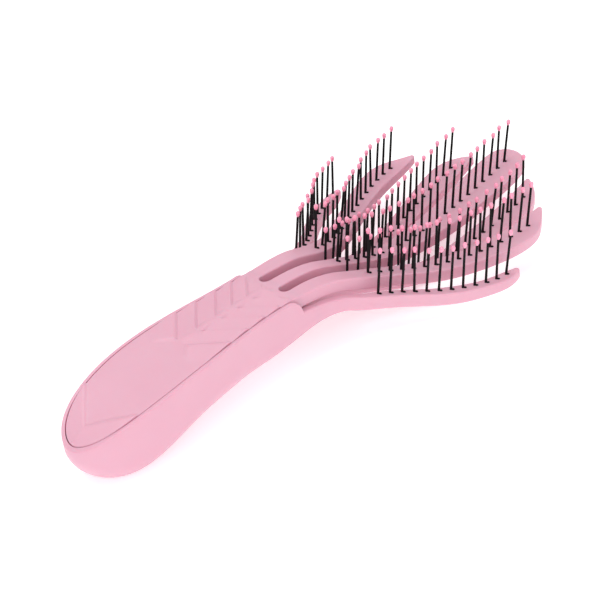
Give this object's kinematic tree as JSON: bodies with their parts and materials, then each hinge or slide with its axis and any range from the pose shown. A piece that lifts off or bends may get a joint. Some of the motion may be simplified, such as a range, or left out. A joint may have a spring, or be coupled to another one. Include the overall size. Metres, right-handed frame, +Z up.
{
  "type": "detangling hair brush",
  "caption": "Detangling hair brush with a leaf-patterned handle and spreading flexible fingers, each with one row of ball-tipped bristles.",
  "frame": {"origin": "under the middle of the bounding box, on the surface that the brush lies on with its bristles up", "axes": "+X from the butt of the handle to the fingertips, +Y to the brush's left, +Z up, the way the bristles point"},
  "size_m": [0.232, 0.0968, 0.0387],
  "materials": {
    "soft_pink_plastic": "satin",
    "black_bristle_nylon": "satin",
    "pink_ball_tip": "gloss"
  },
  "bodies": {
    "handle": {"handle_back_shell": "soft_pink_plastic", "handle_top_plate": "soft_pink_plastic"},
    "centre_flexing_finger": {"centre_finger": "soft_pink_plastic", "centre_bristles": "black_bristle_nylon", "centre_ball_tips": "pink_ball_tip"},
    "left_inner_flexing_finger": {"left_inner_finger": "soft_pink_plastic", "left_inner_bristles": "black_bristle_nylon", "left_inner_ball_tips": "pink_ball_tip"},
    "right_inner_flexing_finger": {"right_inner_finger": "soft_pink_plastic", "right_inner_bristles": "black_bristle_nylon", "right_inner_ball_tips": "pink_ball_tip"},
    "left_middle_flexing_finger": {"left_middle_finger": "soft_pink_plastic", "left_middle_bristles": "black_bristle_nylon", "left_middle_ball_tips": "pink_ball_tip"},
    "right_middle_flexing_finger": {"right_middle_finger": "soft_pink_plastic", "right_middle_bristles": "black_bristle_nylon", "right_middle_ball_tips": "pink_ball_tip"},
    "left_outer_flexing_finger": {"left_outer_finger": "soft_pink_plastic", "left_outer_bristles": "black_bristle_nylon", "left_outer_ball_tips": "pink_ball_tip"},
    "right_outer_flexing_finger": {"right_outer_finger": "soft_pink_plastic", "right_outer_bristles": "black_bristle_nylon", "right_outer_ball_tips": "pink_ball_tip"}
  },
  "joints": [
    {"name": "centre_flex", "type": "hinge", "parent": "handle", "child": "centre_flexing_finger", "pos_m": [0.0049, 0, 0.02173], "axis": [0, -1, 0], "range_deg": [-7, 4], "stiffness_Nm_per_rad": 1.5},
    {"name": "left_inner_flex", "type": "hinge", "parent": "handle", "child": "left_inner_flexing_finger", "pos_m": [0.00246, 0, 0.01625], "axis": [0, -1, 0], "range_deg": [-7, 4], "stiffness_Nm_per_rad": 1.5},
    {"name": "right_inner_flex", "type": "hinge", "parent": "handle", "child": "right_inner_flexing_finger", "pos_m": [0.00246, 0, 0.01625], "axis": [0, -1, 0], "range_deg": [-7, 4], "stiffness_Nm_per_rad": 1.5},
    {"name": "left_middle_flex", "type": "hinge", "parent": "handle", "child": "left_middle_flexing_finger", "pos_m": [0.0049, 0, 0.02173], "axis": [0, -1, 0], "range_deg": [-7, 4], "stiffness_Nm_per_rad": 1.5},
    {"name": "right_middle_flex", "type": "hinge", "parent": "handle", "child": "right_middle_flexing_finger", "pos_m": [0.0049, 0, 0.02173], "axis": [0, -1, 0], "range_deg": [-7, 4], "stiffness_Nm_per_rad": 1.5},
    {"name": "left_outer_flex", "type": "hinge", "parent": "handle", "child": "left_outer_flexing_finger", "pos_m": [0.00246, 0, 0.01625], "axis": [0, -1, 0], "range_deg": [-7, 4], "stiffness_Nm_per_rad": 0.8},
    {"name": "right_outer_flex", "type": "hinge", "parent": "handle", "child": "right_outer_flexing_finger", "pos_m": [0.00246, 0, 0.01625], "axis": [0, -1, 0], "range_deg": [-7, 4], "stiffness_Nm_per_rad": 0.8}
  ]
}
